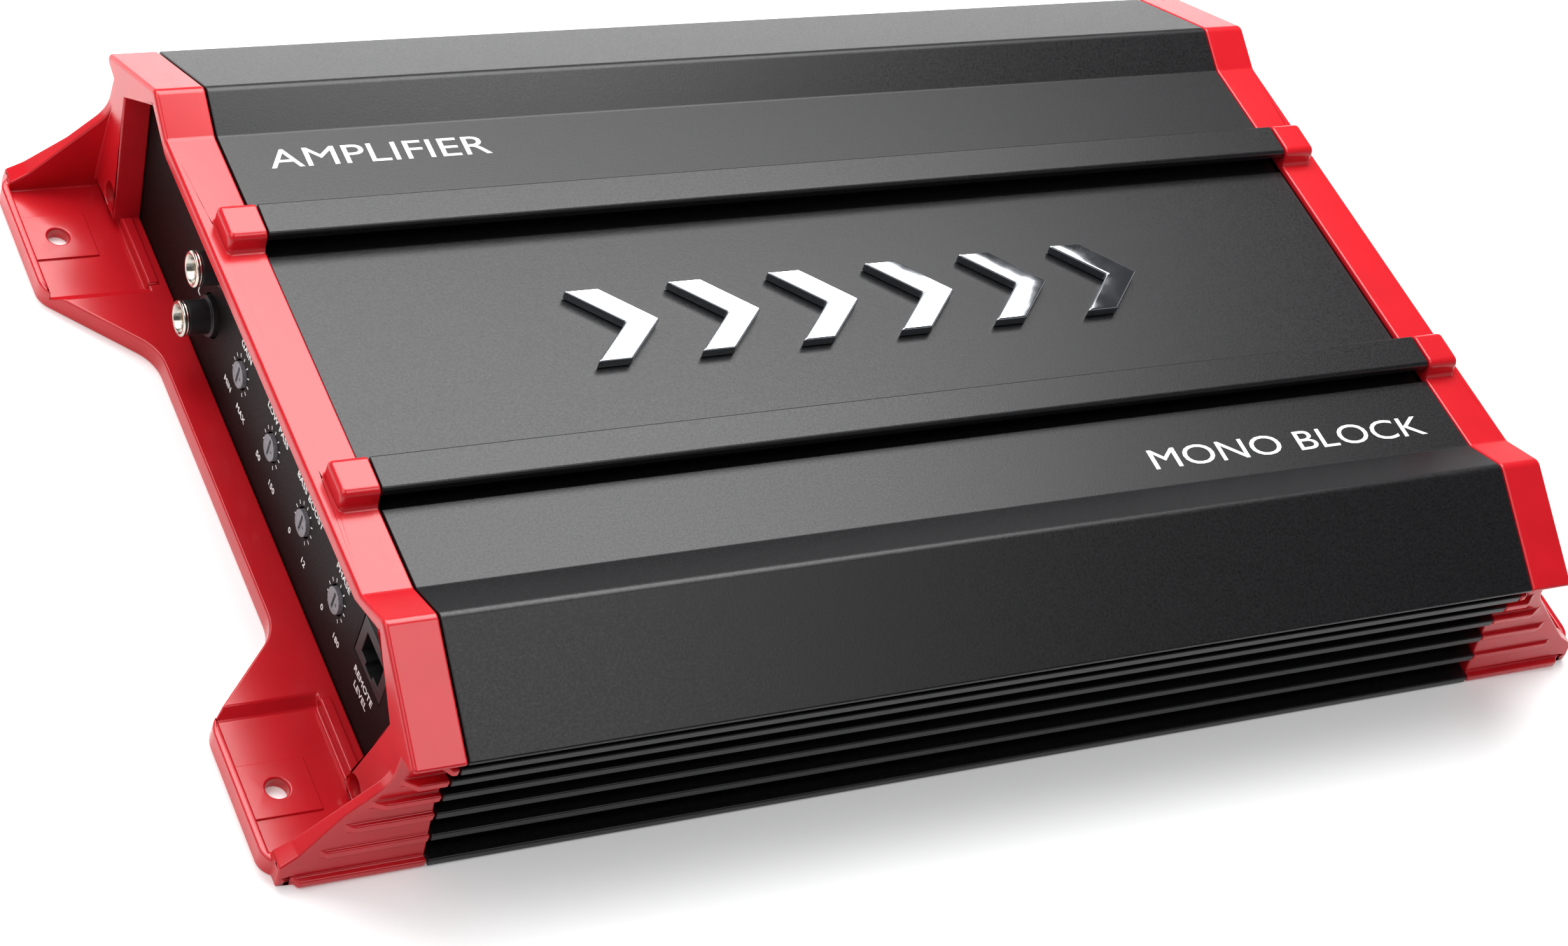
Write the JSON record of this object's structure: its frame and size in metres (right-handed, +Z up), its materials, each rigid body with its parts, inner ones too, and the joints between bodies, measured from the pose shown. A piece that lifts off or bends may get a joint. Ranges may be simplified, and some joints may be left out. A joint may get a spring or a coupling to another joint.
{
  "type": "car amplifier",
  "caption": "Single-channel car amplifier: black finned aluminium heatsink with raised lips, red end caps with screw-down feet, a control panel and a power panel.",
  "frame": {"origin": "centre of the footprint, on the plane that the feet stand on", "axes": "+X along the extrusion from the control end to the power end, +Y to the back, +Z up"},
  "size_m": [0.351, 0.2122, 0.0516],
  "materials": {
    "black_aluminium": "fine black powder coat on extruded aluminium",
    "black_steel": "black painted steel sheet",
    "black_screw": "black oxide steel screw",
    "red_plastic": "glossy red moulded ABS",
    "nickel": "bright nickel plate",
    "black_panel": "satin black painted sheet with white print",
    "black_plastic": "black moulded nylon",
    "white_plastic": "white insulating plastic",
    "brass": "gold flashed brass contact",
    "grey_plastic": "grey moulded plastic",
    "green_board": "green solder mask on glass epoxy",
    "fuse_plastic": "tinted clear fuse plastic",
    "tin_plate": "tin plated zinc blade",
    "clear_lens": "moulded light lens",
    "grey_pad": "silicone insulating pad",
    "ferrite": "ferrite ring core",
    "copper": "enamelled copper wire",
    "black_sleeve": "shrink sleeve on capacitor cans",
    "chrome": "bright chrome plate"
  },
  "bodies": {
    "chassis": {"heatsink": "black_aluminium", "bottom_cover": "black_steel", "cover_screws": "black_screw", "left_end_cap": "red_plastic", "right_end_cap": "red_plastic", "cap_screws": "nickel", "left_end_panel": "black_panel", "right_end_panel": "black_panel", "jack_housing": "black_plastic", "jack_shells": "nickel", "jack_insulators": "white_plastic", "jack_contacts": "brass", "trimmer_bodies": "black_plastic", "remote_socket": "black_plastic", "socket_contacts": "brass", "control_board": "green_board", "main_board": "green_board", "board_screws": "nickel", "board_connector": "white_plastic", "power_terminal_block": "black_plastic", "power_terminal_clamps": "nickel", "speaker_terminal_block": "black_plastic", "speaker_terminal_clamps": "nickel", "fuse_holder": "black_plastic", "fuse_contacts": "brass", "status_lights": "clear_lens", "transistors": "black_plastic", "transistor_leads": "nickel", "insulating_pads": "grey_pad", "clamp_bars": "black_steel", "clamp_screws": "nickel", "filter_capacitors": "black_sleeve", "emblem": "chrome", "power_transformer_1_core": "ferrite", "power_transformer_1_winding": "copper", "power_transformer_2_core": "ferrite", "power_transformer_2_winding": "copper", "output_choke_core": "ferrite", "output_choke_winding": "copper"},
    "gain_knob": {"gain_knob": "grey_plastic"},
    "low_pass_knob": {"low_pass_knob": "grey_plastic"},
    "bass_boost_knob": {"bass_boost_knob": "grey_plastic"},
    "phase_knob": {"phase_knob": "grey_plastic"},
    "power_ground_screw": {"power_terminal_ground_screw": "nickel"},
    "power_remote_screw": {"power_terminal_remote_screw": "nickel"},
    "power_battery_screw": {"power_terminal_battery_screw": "nickel"},
    "speaker_minus_screw": {"speaker_terminal_minus_screw": "nickel"},
    "speaker_plus_screw": {"speaker_terminal_plus_screw": "nickel"},
    "fuse_1": {"fuse_1_body": "fuse_plastic", "fuse_1_blades": "tin_plate"},
    "fuse_2": {"fuse_2_body": "fuse_plastic", "fuse_2_blades": "tin_plate"},
    "fuse_3": {"fuse_3_body": "fuse_plastic", "fuse_3_blades": "tin_plate"}
  },
  "joints": [
    {"name": "gain_turn", "type": "hinge", "parent": "chassis", "child": "gain_knob", "pos_m": [-0.1456, 0.0172, 0.0217], "axis": [-1, 0, 0], "range_deg": [-140, 140]},
    {"name": "low_pass_turn", "type": "hinge", "parent": "chassis", "child": "low_pass_knob", "pos_m": [-0.1456, -0.0048, 0.0217], "axis": [-1, 0, 0], "range_deg": [-140, 140]},
    {"name": "bass_boost_turn", "type": "hinge", "parent": "chassis", "child": "bass_boost_knob", "pos_m": [-0.1456, -0.0268, 0.0217], "axis": [-1, 0, 0], "range_deg": [-140, 140]},
    {"name": "phase_turn", "type": "hinge", "parent": "chassis", "child": "phase_knob", "pos_m": [-0.1456, -0.0488, 0.0217], "axis": [-1, 0, 0], "range_deg": [-140, 140]},
    {"name": "power_ground_screw_turn", "type": "hinge", "parent": "chassis", "child": "power_ground_screw", "pos_m": [0.1568, -0.058, 0.022], "axis": [0, 0, 1], "continuous": true},
    {"name": "power_remote_screw_turn", "type": "hinge", "parent": "chassis", "child": "power_remote_screw", "pos_m": [0.1568, -0.043, 0.022], "axis": [0, 0, 1], "continuous": true},
    {"name": "power_battery_screw_turn", "type": "hinge", "parent": "chassis", "child": "power_battery_screw", "pos_m": [0.1568, -0.028, 0.022], "axis": [0, 0, 1], "continuous": true},
    {"name": "speaker_minus_screw_turn", "type": "hinge", "parent": "chassis", "child": "speaker_minus_screw", "pos_m": [0.1568, 0.0485, 0.022], "axis": [0, 0, 1], "continuous": true},
    {"name": "speaker_plus_screw_turn", "type": "hinge", "parent": "chassis", "child": "speaker_plus_screw", "pos_m": [0.1568, 0.0615, 0.022], "axis": [0, 0, 1], "continuous": true},
    {"name": "fuse_1_pull", "type": "slide", "parent": "chassis", "child": "fuse_1", "axis": [1, 0, 0], "range_m": [0, 0.008]},
    {"name": "fuse_2_pull", "type": "slide", "parent": "chassis", "child": "fuse_2", "axis": [1, 0, 0], "range_m": [0, 0.008]},
    {"name": "fuse_3_pull", "type": "slide", "parent": "chassis", "child": "fuse_3", "axis": [1, 0, 0], "range_m": [0, 0.008]}
  ]
}
